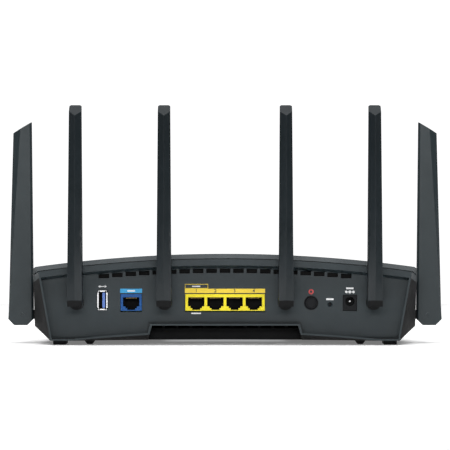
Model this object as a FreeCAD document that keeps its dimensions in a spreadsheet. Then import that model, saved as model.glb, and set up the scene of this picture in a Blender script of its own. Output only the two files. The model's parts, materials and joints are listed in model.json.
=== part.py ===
"""Wireless router with six folding antennas, as a parametric FreeCAD document.

Frame: +Z up, the socket panel faces +Y, the origin is on the table under the middle of the router.
"""
import FreeCAD, Part
import math
import os
import re
import Sketcher

DOC = FreeCAD.newDocument("Router")
SHEET = DOC.addObject("Spreadsheet::Sheet", "Dims")
NODES = []
ARCH_FACETS = 32

# Driving dimensions, in millimetres and degrees.
SIZES = {
    "body_half": (139.5, "half width of the housing where the side antennas sit"),
    "sole_half": (126.6, "half width of the flat underside"),
    "sole_height": (3.3, "height of the underside above the table"),
    "corner_height": (13.2, "height at which the lower chamfer meets the side wall"),
    "rear_y": (80, "rear edge of the housing"),
    "shoulder_y": (56, "where the rear corners reach the full width"),
    "taper_y": (12, "where the housing starts to narrow towards the front"),
    "nose_y": (-76, "where the front corners begin"),
    "front_y": (-100, "front edge of the housing"),
    "nose_half": (122, "half width at the front corners"),
    "front_half": (100, "half width of the front edge"),
    "blank_top": (75, "height of the housing blank before the arch trims it"),
    "wall": (2.5, "housing wall"),
    "lip": (1.3, "thin edge around the recessed panel"),
    "arch_radius": (1000, "radius of the arched roof seen from behind"),
    "cover_top": (67, "roof height at the rear edge, on the centre line"),
    "cover_slope": (12.5, "fall of the roof towards the front"),
    "bevel_slope": (48, "steepness of the bevel along the rear roof edge"),
    "bevel_drop": (3.9, "height of that bevel"),
    "seam": (0.7, "shadow gap between the cover and the parts below it"),
    "hood_drop": (9.1, "underside of the hood below the roof"),
    "hood_y": (66, "front face of the hood"),
    "skin": (2.4, "thickness of the cover"),
    "slot_start": (52, "innermost slot of the cover off the centre line"),
    "slot_pitch": (6.5, "spacing of the slots in the cover"),
    "slot_radius": (1.3, "half width of those slots"),
    "slot_long": (36, "length of those slots"),
    "slot_front_y": (-28, "front end of the front rows of slots"),
    "slot_rear_y": (16, "front end of the rear rows of slots"),
    "window_wide": (64, "width of the light window"),
    "window_deep": (6, "depth of the light window"),
    "window_y": (-85, "light window along the housing"),
    "window_gap": (0.2, "clearance around the light window"),
    "arch_half": (150, "half width of the arch tools"),
    "reach": (300, "half length of the arch tools"),
    "under_radius": (1075, "radius of the arched lower rear edge"),
    "under_z": (9.0, "height of that edge on the centre line"),
    "under_slope": (14.5, "rise of the underside towards the rear edge"),
    "notch_top": (14.3, "height of the notch under the sockets"),
    "notch_half": (53, "half width of the notch at its top"),
    "notch_flare": (4, "extra half width of the notch at its foot"),
    "notch_y": (60, "depth at which the vented wall of the notch stands"),
    "panel_y": (71, "outer face of the rear panel"),
    "panel_step": (1.5, "thickness of the raised field of the panel"),
    "panel_flange": (1.5, "thickness of the flange behind it"),
    "vent_pitch": (9.8, "spacing of the slots above the sockets"),
    "vent_width": (7.8, "width of each slot"),
    "vent_height": (3.4, "height of each slot"),
    "low_pitch": (10, "spacing of the slots in the notch"),
    "low_wide": (8, "width of those slots"),
    "low_tall": (1.9, "height of those slots"),
    "low_z": (12, "lower edge of those slots"),
    "ledge_z": (10.2, "lower face of the ledge across the notch"),
    "ledge_tall": (1.4, "thickness of that ledge"),
    "ledge_proud": (1.5, "how far the ledge stands out of the notch wall"),
    "board_top": (24.8, "upper face of the main board"),
    "board_thick": (1.6, "thickness of every circuit board"),
    "board_half": (112, "half width of the main board"),
    "board_front": (-46, "front edge of the main board"),
    "board_rear": (66, "rear edge of the main board"),
    "led_z": (16, "underside of the light board"),
    "led_wide": (70, "width of the light board"),
    "led_deep": (10, "depth of the light board"),
    "lamp_pitch": (8.5, "spacing of the status lights"),
    "lamp_size": (1.6, "width of a status light"),
    "post_front_x": (76, "front case screws off the centre line"),
    "post_front_y": (-60, "front case screws along the housing"),
    "post_rear_x": (117, "rear case screws off the centre line"),
    "post_rear_y": (38, "rear case screws along the housing"),
    "post_radius": (3.6, "radius of the screw posts"),
    "boss_radius": (3.2, "radius of the board bosses"),
    "boss_bore": (1.25, "radius of the holes in the board bosses"),
    "screw_radius": (1.4, "radius of the screw shanks"),
    "head_radius": (2.8, "radius of the screw heads"),
    "head_tall": (1.5, "height of the screw heads"),
    "drive_radius": (1.2, "radius of the drive socket and of the board screws"),
    "pad_wide": (9.5, "width of the foot pads"),
    "pad_long": (24, "length of the foot pads"),
    "rear_pad_x": (120.5, "rear foot pads off the centre line"),
    "rear_pad_y": (58, "rear foot pads along the housing"),
    "front_pad_x": (92, "front foot pads off the centre line"),
    "front_pad_y": (-60, "front foot pads along the housing"),
    "nub_x": (99, "round feet off the centre line"),
    "nub_y": (58, "round feet along the housing"),
    "nub_tip": (2, "radius of the round feet on the table"),
    "nub_root": (4.4, "radius of the round feet at the underside"),
    "plate_wide": (90, "width of the blank plate under the router"),
    "plate_long": (50, "length of that plate"),
    "plate_y": (-10, "that plate along the housing"),
    "plate_thick": (0.4, "thickness of that plate"),
    "chip_tall": (1.4, "height of the chips"),
    "can_x": (58, "metal cans off the centre line"),
    "can_y": (2, "metal cans along the housing"),
    "can_wide": (40, "width of the metal cans"),
    "can_long": (36, "length of the metal cans"),
    "can_tall": (4, "height of the metal cans"),
    "can_skin": (0.5, "sheet thickness of the metal cans"),
    "coil_wide": (11, "width of the line transformers"),
    "coil_long": (9, "length of the line transformers"),
    "coil_tall": (6, "height of the line transformers"),
    "coil_y": (42.5, "line transformers along the housing"),
    "drum_radius": (4, "radius of the capacitors"),
    "drum_tall": (9, "height of the capacitors"),
    "sink_wide": (56, "width of the heatsink"),
    "sink_long": (52, "length of the heatsink"),
    "sink_y": (8, "heatsink along the housing"),
    "sink_base": (2, "thickness of the heatsink base"),
    "fin_pitch": (5.2, "spacing of the heatsink fins"),
    "fin_thick": (1.4, "thickness of a fin"),
    "fin_top": (12, "top of the fins above the board"),
    "boss_front_x": (104, "front board screws off the centre line"),
    "boss_front_y": (-38, "front board screws along the housing"),
    "boss_rear_x": (104, "rear board screws off the centre line"),
    "boss_rear_y": (26, "rear board screws along the housing"),
    "jack_pitch": (13.97, "spacing of the ganged network sockets"),
    "jack_wide": (15.3, "width of one network socket"),
    "jack_tall": (12.1, "height of a network socket"),
    "jack_deep": (21, "depth of a network socket"),
    "jack_proud": (0.4, "how far the sockets stand out of the panel"),
    "port_wide": (11.9, "plug opening width"),
    "port_tall": (6.6, "plug opening height"),
    "port_deep": (14, "plug opening depth"),
    "port_floor": (3.2, "plug opening above the board"),
    "latch_wide": (5.8, "width of the latch groove"),
    "latch_step": (1.3, "depth of each step of the latch groove"),
    "wire_pitch": (1.02, "spacing of the contact wires"),
    "wire_thick": (0.45, "width of a contact wire"),
    "wan_x": (68.3, "centre of the single network socket"),
    "usb_x": (89.2, "centre of the upright USB socket"),
    "usb_z": (32.4, "height of the USB socket centre"),
    "usb_wide": (6.2, "width of the USB shell"),
    "usb_tall": (14.3, "height of the USB shell"),
    "usb_deep": (14, "depth of the USB shell"),
    "usb_skin": (0.35, "thickness of the USB shell"),
    "usb_hole_wide": (8.3, "width of the opening around the USB socket"),
    "usb_hole_tall": (15.1, "height of that opening"),
    "usb_hole_round": (2.2, "corner radius of that opening"),
    "usb_proud": (0.6, "how far the USB shell stands out of the panel"),
    "usb_tab_thick": (1.0, "flare of the USB spring tabs"),
    "usb_tab_long": (11, "length of the long spring tabs"),
    "usb_tab_short": (3.8, "length of the short spring tabs"),
    "usb_blade_off": (0.9, "USB tongue off the middle of its shell"),
    "usb_blade_thick": (1.9, "thickness of the USB tongue"),
    "usb_blade_tall": (11.2, "height of the USB tongue"),
    "power_x": (-90.9, "centre of the power inlet"),
    "power_z": (30.5, "height of the power inlet face centre"),
    "power_wide": (9.9, "width of the power inlet face"),
    "power_tall": (11.4, "height of the power inlet face"),
    "inlet_radius": (3.3, "radius of the power inlet bore"),
    "inlet_z": (31.7, "height of the bore centre"),
    "inlet_pin": (1.0, "radius of the centre pin"),
    "inlet_proud": (0.3, "how far the power inlet stands out of the panel"),
    "inlet_deep": (14, "depth of the power inlet"),
    "bore_deep": (10, "depth of its bore"),
    "button_x": (-62.7, "centre of the power button"),
    "button_z": (30.5, "height of the power button"),
    "button_radius": (4.25, "radius of the power button"),
    "button_proud": (2.2, "how far the power button stands out"),
    "button_travel": (2.0, "stroke of the power button"),
    "button_stem": (5, "reach of the button stems behind the panel"),
    "ring_wide": (0.7, "width of the ring around the power button"),
    "ring_gap": (0.25, "clearance between that ring and the button"),
    "ring_proud": (0.5, "how far the ring stands out of the panel"),
    "reset_x": (-76.4, "centre of the reset hole"),
    "reset_z": (29.3, "height of the reset hole"),
    "reset_radius": (1.0, "radius of the reset plunger"),
    "reset_travel": (0.7, "stroke of the reset plunger"),
    "inner_x": (44, "inner rear antennas off the centre line"),
    "outer_x": (108.1, "outer rear antennas off the centre line"),
    "rear_face": (81.3, "inner faces of the rear blades"),
    "rear_foot": (28.5, "lower ends of the rear blades"),
    "rear_length": (145.5, "length of the rear blades"),
    "rear_axis": (30.9, "height of the rear swivel axes"),
    "rear_pin_depth": (9.3, "fold pin behind the inner face, rear blades"),
    "rear_pin_rise": (4.9, "fold pin above the lower end, rear blades"),
    "side_face": (141.6, "inner faces of the side blades"),
    "side_foot": (13.2, "lower ends of the side blades"),
    "side_length": (150, "length of the side blades"),
    "side_axis": (21, "height of the side swivel axes"),
    "side_y": (36, "side antennas along the housing"),
    "side_pin_depth": (7.8, "fold pin behind the inner face, side blades"),
    "side_pin_rise": (7.8, "fold pin above the lower end, side blades"),
    "blade_wide": (10.7, "width of a blade at its foot"),
    "blade_tip_wide": (8.9, "width of a blade at its tip"),
    "blade_deep": (18.8, "depth of a blade at its foot"),
    "blade_tip_deep": (13.4, "depth of a blade at its tip"),
    "blade_lean": (1.6, "how far the inner edge leans out at the tip"),
    "blade_bevel": (5.6, "depth of the bevels at the tip"),
    "blade_edge": (1.2, "chamfer along the inner edges"),
    "blade_slant": (30.6, "slant of the tip"),
    "blade_chamfer": (4.75, "chamfers of the foot"),
    "fork_gap": (4.6, "width of the slot in the foot"),
    "tongue": (4.2, "thickness of the hinge tongue"),
    "tongue_radius": (3.3, "rounded end of the hinge tongue"),
    "knuckle_gap": (0.6, "clearance around the rounded end"),
    "pin_radius": (1.25, "radius of the fold pins"),
    "neck_radius": (4.0, "radius of the swivel neck"),
    "shaft_radius": (3.2, "radius of the swivel shaft in the wall"),
    "collar_radius": (5.6, "radius of the swivel collar"),
    "collar_thick": (1.0, "thickness of the swivel collar"),
    "neck_gap": (1.0, "end of the swivel neck before the inner face of the blade"),
    "washer_radius": (5.0, "radius of the washers behind the swivels"),
    "washer_thick": (1.2, "thickness of those washers"),
    "swivel_gap": (0.08, "running clearance of swivels and pins"),
}
PANEL_BACK = "(panel_y - panel_step - panel_flange)"
JACK_FRONT = "(panel_y + jack_proud)"
REAR_PLACES = {"rear1": "-outer_x", "rear2": "-inner_x", "rear3": "inner_x", "rear4": "outer_x"}
SIDE_PLACES = {"left": -1, "right": 1}
CHIPS = ((0, 8, 22), (-58, 2, 16), (58, 2, 16), (34, -26, 12))
CAPACITORS = ((-96, 42), (-84, 42), (-96, 10), (96, 10))


def fill_sheet():
    """Write each driving dimension as one row: name, number, meaning."""
    for row, (name, (number, note)) in enumerate(SIZES.items(), start=1):
        SHEET.set(f"A{row}", name)
        SHEET.set(f"B{row}", str(number))
        SHEET.set(f"C{row}", note)
        SHEET.setAlias(f"B{row}", name)
    DOC.recompute()


def formula(text):
    """Point the plain names of a formula at their cells in the sheet."""
    return re.sub(r"[a-z]\w+", lambda found: "Dims." + found[0] if found[0] in SIZES else found[0], str(text))


def value(text):
    """Present value of a formula."""
    return float(SHEET.evalExpression(formula(text)))


def bind(item, prop, text):
    """Bind one property to a formula."""
    item.setExpression(prop, formula(text))


def place(item, x, y, z, turn=0):
    """Move an item to bound coordinates, turned about the vertical."""
    item.Placement = FreeCAD.Placement(FreeCAD.Vector(), FreeCAD.Rotation(FreeCAD.Vector(0, 0, 1), turn))
    for axis, text in zip("xyz", (x, y, z)):
        bind(item, "Placement.Base." + axis, text)


def block(name, x, y, z):
    """Box between three pairs of formulas."""
    item = DOC.addObject("Part::Box", name)
    for side, axis, (low, high) in zip(("Length", "Width", "Height"), "xyz", (x, y, z)):
        bind(item, side, f"({high}) - ({low})")
        bind(item, "Placement.Base." + axis, low)
    return item


def around(centre, size):
    """Pair of formulas for a span of a given size about a centre."""
    return (f"{centre} - ({size}) / 2", f"{centre} + ({size}) / 2")


TURNS = {"x": ((0, 1, 0), 90), "y": ((1, 0, 0), -90), "z": ((0, 0, 1), 0)}


def rod(name, radius, x, y, z, length, axis="z", tip=None):
    """Cylinder, or cone when a tip radius is given, from a point along an axis."""
    item = DOC.addObject("Part::Cone" if tip else "Part::Cylinder", name)
    direction, degrees = TURNS[axis]
    item.Placement.Rotation = FreeCAD.Rotation(FreeCAD.Vector(*direction), degrees)
    bind(item, "Radius1" if tip else "Radius", radius)
    if tip:
        bind(item, "Radius2", tip)
    bind(item, "Height", length)
    for letter, text in zip("xyz", (x, y, z)):
        bind(item, "Placement.Base." + letter, text)
    return item


def arch(name, y, z, slope, radius="arch_radius"):
    """Long prism under an arch; its crest passes through (y, z) at a slope.

    The arch is so flat that narrow facets follow it to a hundredth of a millimetre.
    """
    size = f"({radius} / cos({slope}))"
    half_count = ARCH_FACETS // 2
    stations = [f"{step} * arch_half / {half_count}" for step in range(-half_count, half_count + 1)]
    crest = [(u, f"sqrt({size}^2 - ({u})^2) - {size}") for u in stations]
    body = new_body(name)
    outline = [("arch_half", "-2 * arch_half"), ("-arch_half", "-2 * arch_half")]
    extrude(body, "Pad", name + "Pad", "XZ_Plane", "-reach", "reach", crest + outline)
    body.Placement.Rotation = FreeCAD.Rotation(FreeCAD.Vector(1, 0, 0), 1)
    bind(body, "Placement.Rotation.Angle", slope)
    bind(body, "Placement.Base.y", y)
    bind(body, "Placement.Base.z", z)
    return body


def roof(name, drop):
    """The roof arch, lowered by a drop."""
    return arch(name, "rear_y", f"cover_top - ({drop})", "cover_slope")


def join(name, *items):
    """One piece made of several overlapping items."""
    item = DOC.addObject("Part::MultiFuse", name)
    item.Shapes = list(items)
    return item


def group(name, items):
    """Separate items kept side by side."""
    item = DOC.addObject("Part::Compound", name)
    item.Links = list(items)
    return item


def cut(name, base, tool):
    """Base less tool."""
    item = DOC.addObject("Part::Cut", name)
    item.Base = base
    item.Tool = tool
    return item


def overlap(name, *items):
    """What all the items share."""
    item = DOC.addObject("Part::MultiCommon", name)
    item.Shapes = list(items)
    return item


def node(item, label):
    """Name a finished sub-part and keep it for export."""
    item.Label = label
    NODES.append(item)
    return item


# ---------------------------------------------------------------- bodies with sketches

def new_body(name):
    """An empty PartDesign body."""
    return DOC.addObject("PartDesign::Body", name)


def draw_polygon(sketch, points):
    """Closed outline with every corner bound to its formulas."""
    first = sketch.GeometryCount
    count = len(points)
    corners = [FreeCAD.Vector(value(u), value(v), 0) for u, v in points]
    lines = [Part.LineSegment(corners[step], corners[(step + 1) % count]) for step in range(count)]
    sketch.addGeometry(lines, False)
    rules = []
    for step in range(count):
        rules.append(Sketcher.Constraint("Coincident", first + step, 2, first + (step + 1) % count, 1))
    for step, corner in enumerate(corners):
        rules.append(Sketcher.Constraint("DistanceX", -1, 1, first + step, 1, corner.x))
        rules.append(Sketcher.Constraint("DistanceY", -1, 1, first + step, 1, corner.y))
    start = sketch.ConstraintCount
    sketch.addConstraint(rules)
    for step, (u, v) in enumerate(points):
        bind(sketch, f"Constraints[{start + count + 2 * step}]", u)
        bind(sketch, f"Constraints[{start + count + 2 * step + 1}]", v)


def draw_circle(sketch, u, v, radius):
    """Circle with a bound centre and radius."""
    centre = FreeCAD.Vector(value(u), value(v), 0)
    curve = sketch.addGeometry(Part.Circle(centre, FreeCAD.Vector(0, 0, 1), value(radius)), False)
    for kind, text, number in (("DistanceX", u, centre.x), ("DistanceY", v, centre.y)):
        index = sketch.addConstraint(Sketcher.Constraint(kind, -1, 1, curve, 3, number))
        bind(sketch, f"Constraints[{index}]", text)
    index = sketch.addConstraint(Sketcher.Constraint("Radius", curve, value(radius)))
    bind(sketch, f"Constraints[{index}]", radius)


def draw_slot(sketch, u, low, high, radius):
    """Slot with round ends, from low to high along the sketch's second axis."""
    centre_u = value(u)
    size = value(radius)
    ends = (value(f"{low} + {radius}"), value(f"{high} - {radius}"))
    arcs = []
    for centre_v, (first, last) in zip(ends, ((-180, 0), (0, 180))):
        circle = Part.Circle(FreeCAD.Vector(centre_u, centre_v, 0), FreeCAD.Vector(0, 0, 1), size)
        arc = Part.ArcOfCircle(circle, math.radians(first), math.radians(last))
        arcs.append(sketch.addGeometry(arc, False))
    for side, foot, head in ((1, 2, 1), (-1, 1, 2)):
        corners = [FreeCAD.Vector(centre_u + side * size, centre_v, 0) for centre_v in ends]
        line = sketch.addGeometry(Part.LineSegment(*corners), False)
        sketch.addConstraint(Sketcher.Constraint("Tangent", line, 1, arcs[0], foot))
        sketch.addConstraint(Sketcher.Constraint("Tangent", line, 2, arcs[1], head))
    for arc, text in zip(arcs, (f"{low} + {radius}", f"{high} - {radius}")):
        for kind, wanted in (("DistanceX", u), ("DistanceY", text)):
            index = sketch.addConstraint(Sketcher.Constraint(kind, -1, 1, arc, 3, value(wanted)))
            bind(sketch, f"Constraints[{index}]", wanted)
        index = sketch.addConstraint(Sketcher.Constraint("Radius", arc, size))
        bind(sketch, f"Constraints[{index}]", radius)


def new_sketch(body, name, role, level, outlines):
    """Sketch on one of the body's own origin planes, moved along its axis to a level."""
    sketch = body.newObject("Sketcher::SketchObject", name)
    plane = next(item for item in body.Origin.OriginFeatures if item.Role == role)
    sketch.AttachmentSupport = (plane, [""])
    sketch.MapMode = "FlatFace"
    bind(sketch, "AttachmentOffset.Base.z", f"-({level})" if role == "XZ_Plane" else level)
    for outline in outlines:
        if isinstance(outline, list):
            draw_polygon(sketch, outline)
        elif len(outline) == 3:
            draw_circle(sketch, *outline)
        else:
            draw_slot(sketch, *outline)
    return sketch


def extrude(body, kind, name, role, low, high, *outlines):
    """Pad or pocket between two levels of an origin plane's axis."""
    starts_low = (kind == "Pad") != (role == "XZ_Plane")
    sketch = new_sketch(body, name + "Sketch", role, low if starts_low else high, outlines)
    item = body.newObject("PartDesign::" + kind, name)
    item.Profile = sketch
    bind(item, "Length", f"({high}) - ({low})")
    sketch.Visibility = False
    return item


def rectangle(u, v):
    """Outline of a rectangle from two pairs of formulas."""
    return [(u[0], v[0]), (u[1], v[0]), (u[1], v[1]), (u[0], v[1])]


# ---------------------------------------------------------------- housing

def chamfer_wedge(name, inset, x, y, turn):
    """Wedge under the lower chamfer of one wall; its own X axis points out of that wall."""
    foot = "(body_half - sole_half)"
    rise = "(corner_height - sole_height)"
    low = f"sole_height + {inset} - {rise} / 2"
    high = f"corner_height + {inset} + {rise} / 2"
    body = new_body(name)
    outline = [(f"-1.5 * {foot}", low), (f"{foot} / 2", low), (f"{foot} / 2", high)]
    extrude(body, "Pad", name + "Pad", "XZ_Plane", "-200", "200", outline)
    place(body, x, y, "0")
    bind(body, "Placement.Rotation.Angle", turn)
    return body


def corner_wedge(name, inset, side):
    """Leaning wedge that slants one rear corner, so the rear edge narrows towards the table."""
    lean = "(body_half - sole_half) / (blank_top - sole_height)"
    foot = f"(sole_half - {inset} - sole_height * {lean})"
    flare = f"((body_half - sole_half) - (corner_height - sole_height) * {lean})"
    run = "(rear_y - shoulder_y)"
    body = new_body(name)
    outline = [
        (f"{side} * ({foot} - {flare} / 2)", f"rear_y + {run} / 2"),
        (f"{side} * ({foot} + 3 * {flare})", f"rear_y - 3 * {run}"),
        (f"{side} * ({foot} + 6 * {flare})", f"rear_y - 3 * {run}"),
        (f"{side} * ({foot} + 6 * {flare})", f"rear_y + {run} / 2"),
    ]
    pad = extrude(body, "Pad", name + "Pad", "XY_Plane", "0", "blank_top + 10", outline)
    pad.UseCustomVector = True
    pad.Direction = FreeCAD.Vector(side * value(lean), 0, 1)
    pad.AlongSketchNormal = True
    bind(pad, "Direction.x", f"{side} * {lean}")
    return body


def housing_blank(name, inset):
    """Hull of the housing: a tapered prism with chamfered foot and slanted rear corners."""
    half = [
        (f"body_half - {inset}", "rear_y + 1"),
        (f"body_half - {inset}", "taper_y"),
        (f"nose_half - {inset}", "nose_y"),
        (f"front_half - {inset}", f"front_y + {inset}"),
    ]
    prism = new_body(name + "Prism")
    outline = half + [(f"-({u})", v) for u, v in reversed(half)]
    extrude(prism, "Pad", name + "Pad", "XY_Plane", f"sole_height + {inset}", "blank_top", outline)
    turns = [
        "0 deg",
        "-atan((body_half - nose_half) / (taper_y - nose_y))",
        "-atan((nose_half - front_half) / (nose_y - front_y))",
    ]
    wedges = [chamfer_wedge(name + "Front", inset, "0", f"front_y + {inset}", "-90 deg")]
    for index, (turn, (x, y)) in enumerate(zip(turns, half[1:])):
        wedges.append(chamfer_wedge(f"{name}Right{index}", inset, x, y, turn))
        wedges.append(chamfer_wedge(f"{name}Left{index}", inset, f"-({x})", y, f"180 deg - ({turn})"))
    wedges.append(corner_wedge(name + "CornerRight", inset, 1))
    wedges.append(corner_wedge(name + "CornerLeft", inset, -1))
    trimmed = cut(name + "Trimmed", prism, join(name + "Wedges", *wedges))
    box = block(name + "Box", ("-body_half - 1", "body_half + 1"), ("front_y", "rear_y"), ("0", "blank_top"))
    return overlap(name, trimmed, box)


def notch(name, inset):
    """Trapezoid notch under the sockets, grown by an inset."""
    body = new_body(name)
    foot = f"notch_half + notch_flare + {inset}"
    head = f"notch_half + {inset}"
    top = f"notch_top + {inset}"
    outline = [(f"-({foot})", "0"), (foot, "0"), (head, top), (f"-({head})", top)]
    extrude(body, "Pad", name + "Pad", "XZ_Plane", f"notch_y - {inset}", "rear_y + 5", outline)
    return body


def housing_space(name, inset):
    """Housing hull with the notch and the arched lower rear edge taken away."""
    blank = housing_blank(name + "Blank", inset)
    under = arch(name + "Under", "rear_y", f"under_z + {inset}", "under_slope", "under_radius")
    tool = join(name + "Tool", notch(name + "Notch", inset), under)
    return cut(name, blank, tool)


def span(name, low, high):
    """Slab across the whole housing between two levels along the router."""
    return block(name, ("-body_half - 10", "body_half + 10"), (low, high), ("-5", "blank_top + 5"))


def slot_row(name, start, low):
    """Row of eight round-ended slots as one cutting tool."""
    body = new_body(name)
    outline = (start, low, f"{low} + slot_long", "slot_radius")
    pad = extrude(body, "Pad", name + "Pad", "XY_Plane", "led_z", "blank_top", outline)
    pattern = body.newObject("PartDesign::LinearPattern", name + "Pattern")
    pattern.Originals = [pad]
    pattern.Direction = (next(item for item in body.Origin.OriginFeatures if item.Role == "X_Axis"), [""])
    pattern.Occurrences = 8
    bind(pattern, "Length", "7 * slot_pitch")
    body.Tip = pattern
    return body


def make_top_cover(outer, inner):
    """Arched cover with a bevelled rear edge, vent slots and screw posts."""
    bevel = arch("CoverBevel", "rear_y", "cover_top - bevel_drop", "-bevel_slope")
    slab = overlap("CoverSlab", outer, roof("CoverRoof", "0"), bevel)
    hollow = overlap("CoverHollow", inner, roof("CoverSkin", "skin"), span("CoverClear", "front_y", "hood_y"))
    rows = []
    for start in ("slot_start", "-slot_start - 7 * slot_pitch"):
        for low in ("slot_front_y", "slot_rear_y"):
            rows.append(slot_row(f"CoverSlots{len(rows)}", start, low))
    window = block("WindowHole", around("0", "window_wide"), around("window_y", "window_deep"),
                   ("led_z", "blank_top"))
    tool = join("CoverTool", roof("CoverSeam", "bevel_drop"), hollow)
    skin = cut("CoverSkinned", slab, tool)
    vented = cut("CoverVented", skin, group("CoverTools", rows + [window]))
    posts = []
    pilots = []
    for index, (x, y) in enumerate(screw_places("post")):
        posts.append(rod(f"Post{index}", "post_radius", x, y, "sole_height + wall", "cover_top"))
        pilots.append(rod(f"Pilot{index}", "screw_radius", x, y, "sole_height", "wall + 12"))
    stalks = overlap("CoverPosts", group("PostSet", posts), roof("PostRoof", "skin / 2"))
    whole = join("CoverWhole", vented, stalks)
    node(cut("TopCover", whole, group("PilotSet", pilots)), "top_cover")


def screw_places(kind):
    """Four places, mirrored left and right, of one kind of screw."""
    return [(f"{side} * {kind}_{end}_x", f"{kind}_{end}_y") for side in (-1, 1) for end in ("front", "rear")]


def seam_groove(walls, lip_space):
    """Thin ring between the cover and the parts below it, open to the outside."""
    layer = cut("SeamLayer", walls, roof("SeamLower", "bevel_drop + seam"))
    core = overlap("SeamCore", lip_space, span("SeamSpan", "front_y", "rear_y - lip"))
    return cut("SeamGroove", layer, core)


def make_rear_hood(walls, groove):
    """Arched bar that closes the housing above the recessed panel."""
    bar = overlap("HoodBar", walls, span("HoodSpan", "hood_y", "rear_y"))
    trimmed = cut("HoodTrimmed", bar, roof("HoodFoot", "hood_drop"))
    node(cut("RearHood", trimmed, groove), "rear_hood")


def tray_slots():
    """Tools for the vents of the notch and for the side hinges."""
    tools = []
    depth = ("notch_y - wall - 1", "notch_y + 1")
    height = ("low_z", "low_z + low_tall")
    for step in range(-5, 6):
        tools.append(block(f"LowSlot{step + 5}", around(f"{step} * low_pitch", "low_wide"), depth, height))
    for side in (-1, 1):
        start = f"{side} * body_half - 8"
        name = f"SideHole{side + 1}"
        tools.append(rod(name, "shaft_radius + swivel_gap", start, "side_y", "side_axis", "16", "x"))
    return tools


def tray_holes():
    """Tools for the board screws and for the seats of the case screws."""
    tools = []
    for index, (x, y) in enumerate(screw_places("boss")):
        tools.append(rod(f"BossHole{index}", "boss_bore", x, y, "board_top - 9", "9"))
    for index, (x, y) in enumerate(screw_places("post")):
        tools.append(rod(f"Seat{index}", "head_radius + 0.3", x, y, "sole_height - 1", "head_tall + 0.8"))
        tools.append(rod(f"SeatHole{index}", "screw_radius + 0.2", x, y, "sole_height", "wall + 1"))
    return tools


def make_bottom_shell(walls, lip_space, inner, groove):
    """Tray with a thin rear lip, a vented notch, board bosses and screw seats."""
    cavity = overlap("TrayCavity", inner, span("TrayFront", "front_y", PANEL_BACK))
    pocket = overlap("TrayPocket", lip_space, span("TrayRear", PANEL_BACK, "rear_y + 1"))
    hood_span = span("HoodZoneSpan", "hood_y", "rear_y + 1")
    hood_zone = cut("HoodZone", hood_span, roof("HoodZoneFoot", "hood_drop"))
    tray = cut("TrayHollow", walls, join("TrayTool", cavity, pocket, hood_zone, groove))
    bosses = []
    for index, (x, y) in enumerate(screw_places("boss")):
        height = "board_top - board_thick - sole_height - 1"
        bosses.append(rod(f"Boss{index}", "boss_radius", x, y, "sole_height + 1", height))
    ledge = block("NotchLedge", around("0", "2 * notch_half"), ("notch_y - 0.5", "notch_y + ledge_proud"),
                  ("ledge_z", "ledge_z + ledge_tall"))
    stand = block("LedStand", around("0", "led_wide - 40"), around("window_y", "led_deep"),
                  ("sole_height + 1", "led_z"))
    whole = join("TrayWhole", tray, ledge, stand, *bosses)
    tool = join("TrayHoles", *tray_slots(), *tray_holes())
    node(cut("BottomShell", whole, tool), "bottom_shell")


def rounded_hole(name, x, z, wide, tall, corner, y):
    """Overlapping tools for an upright rounded opening."""
    tools = [
        block(name + "Wide", around(x, wide), y, around(z, f"{tall} - 2 * {corner}")),
        block(name + "Tall", around(x, f"{wide} - 2 * {corner}"), y, around(z, tall)),
    ]
    for index, (right, up) in enumerate(((-1, -1), (-1, 1), (1, -1), (1, 1))):
        centre_x = f"{x} + {right} * ({wide} / 2 - {corner})"
        centre_z = f"{z} + {up} * ({tall} / 2 - {corner})"
        tools.append(rod(f"{name}Corner{index}", corner, centre_x, y[0], centre_z, f"{y[1]} - ({y[0]})", "y"))
    return tools


def panel_holes():
    """Tools for every opening of the rear panel."""
    deep = (f"{PANEL_BACK} - 1", "panel_y + 1")
    jack_z = ("board_top - 1", "board_top + jack_tall + 0.3")
    bezel = "button_radius + ring_gap + ring_wide"
    tools = [
        block("LanHole", around("0", "3 * jack_pitch + jack_wide + 1.2"), deep, jack_z),
        block("WanHole", around("wan_x", "jack_wide + 0.6"), deep, jack_z),
        block("InletHole", around("power_x", "power_wide + 0.6"), deep,
              around("power_z", "power_tall + 0.6")),
        rod("ButtonHole", bezel, "button_x", deep[0], "button_z", "6", "y"),
        rod("ResetHole", "reset_radius + 0.25", "reset_x", deep[0], "reset_z", "6", "y"),
        rod("ResetFunnel", "reset_radius + 0.2", "reset_x", "panel_y - 0.7", "reset_z", "0.9", "y",
            tip="reset_radius + 1.1"),
    ]
    usb_hole = ("usb_hole_wide", "usb_hole_tall", "usb_hole_round")
    tools += rounded_hole("UsbHole", "usb_x", "usb_z", *usb_hole, deep)
    for name, x in REAR_PLACES.items():
        tools.append(rod(f"StubHole_{name}", "shaft_radius + swivel_gap", x, deep[0], "rear_axis", "6", "y"))
    for count in range(-9, 10):
        x = f"{count} * vent_pitch"
        fall = f"({x})^2 / (2 * arch_radius) + (rear_y - panel_y) * tan(cover_slope)"
        top = f"cover_top - hood_drop - 0.25 - ({fall})"
        tools.append(block(f"Vent{count + 9}", around(x, "vent_width"), deep, (f"{top} - vent_height", top)))
    return tools


def make_rear_panel(lip_space, inner):
    """Stepped panel with every opening of the rear face."""
    step = "panel_y - panel_step"
    ceiling = roof("PanelTop", "hood_drop")
    field = overlap("PanelField", inner, ceiling, span("PanelFieldSpan", step, "panel_y"))
    flange = overlap("PanelFlange", lip_space, ceiling, span("PanelFlangeSpan", PANEL_BACK, step))
    holes = join("PanelHoles", *panel_holes())
    node(cut("RearPanel", join("PanelWhole", field, flange), holes), "rear_panel")


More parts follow.
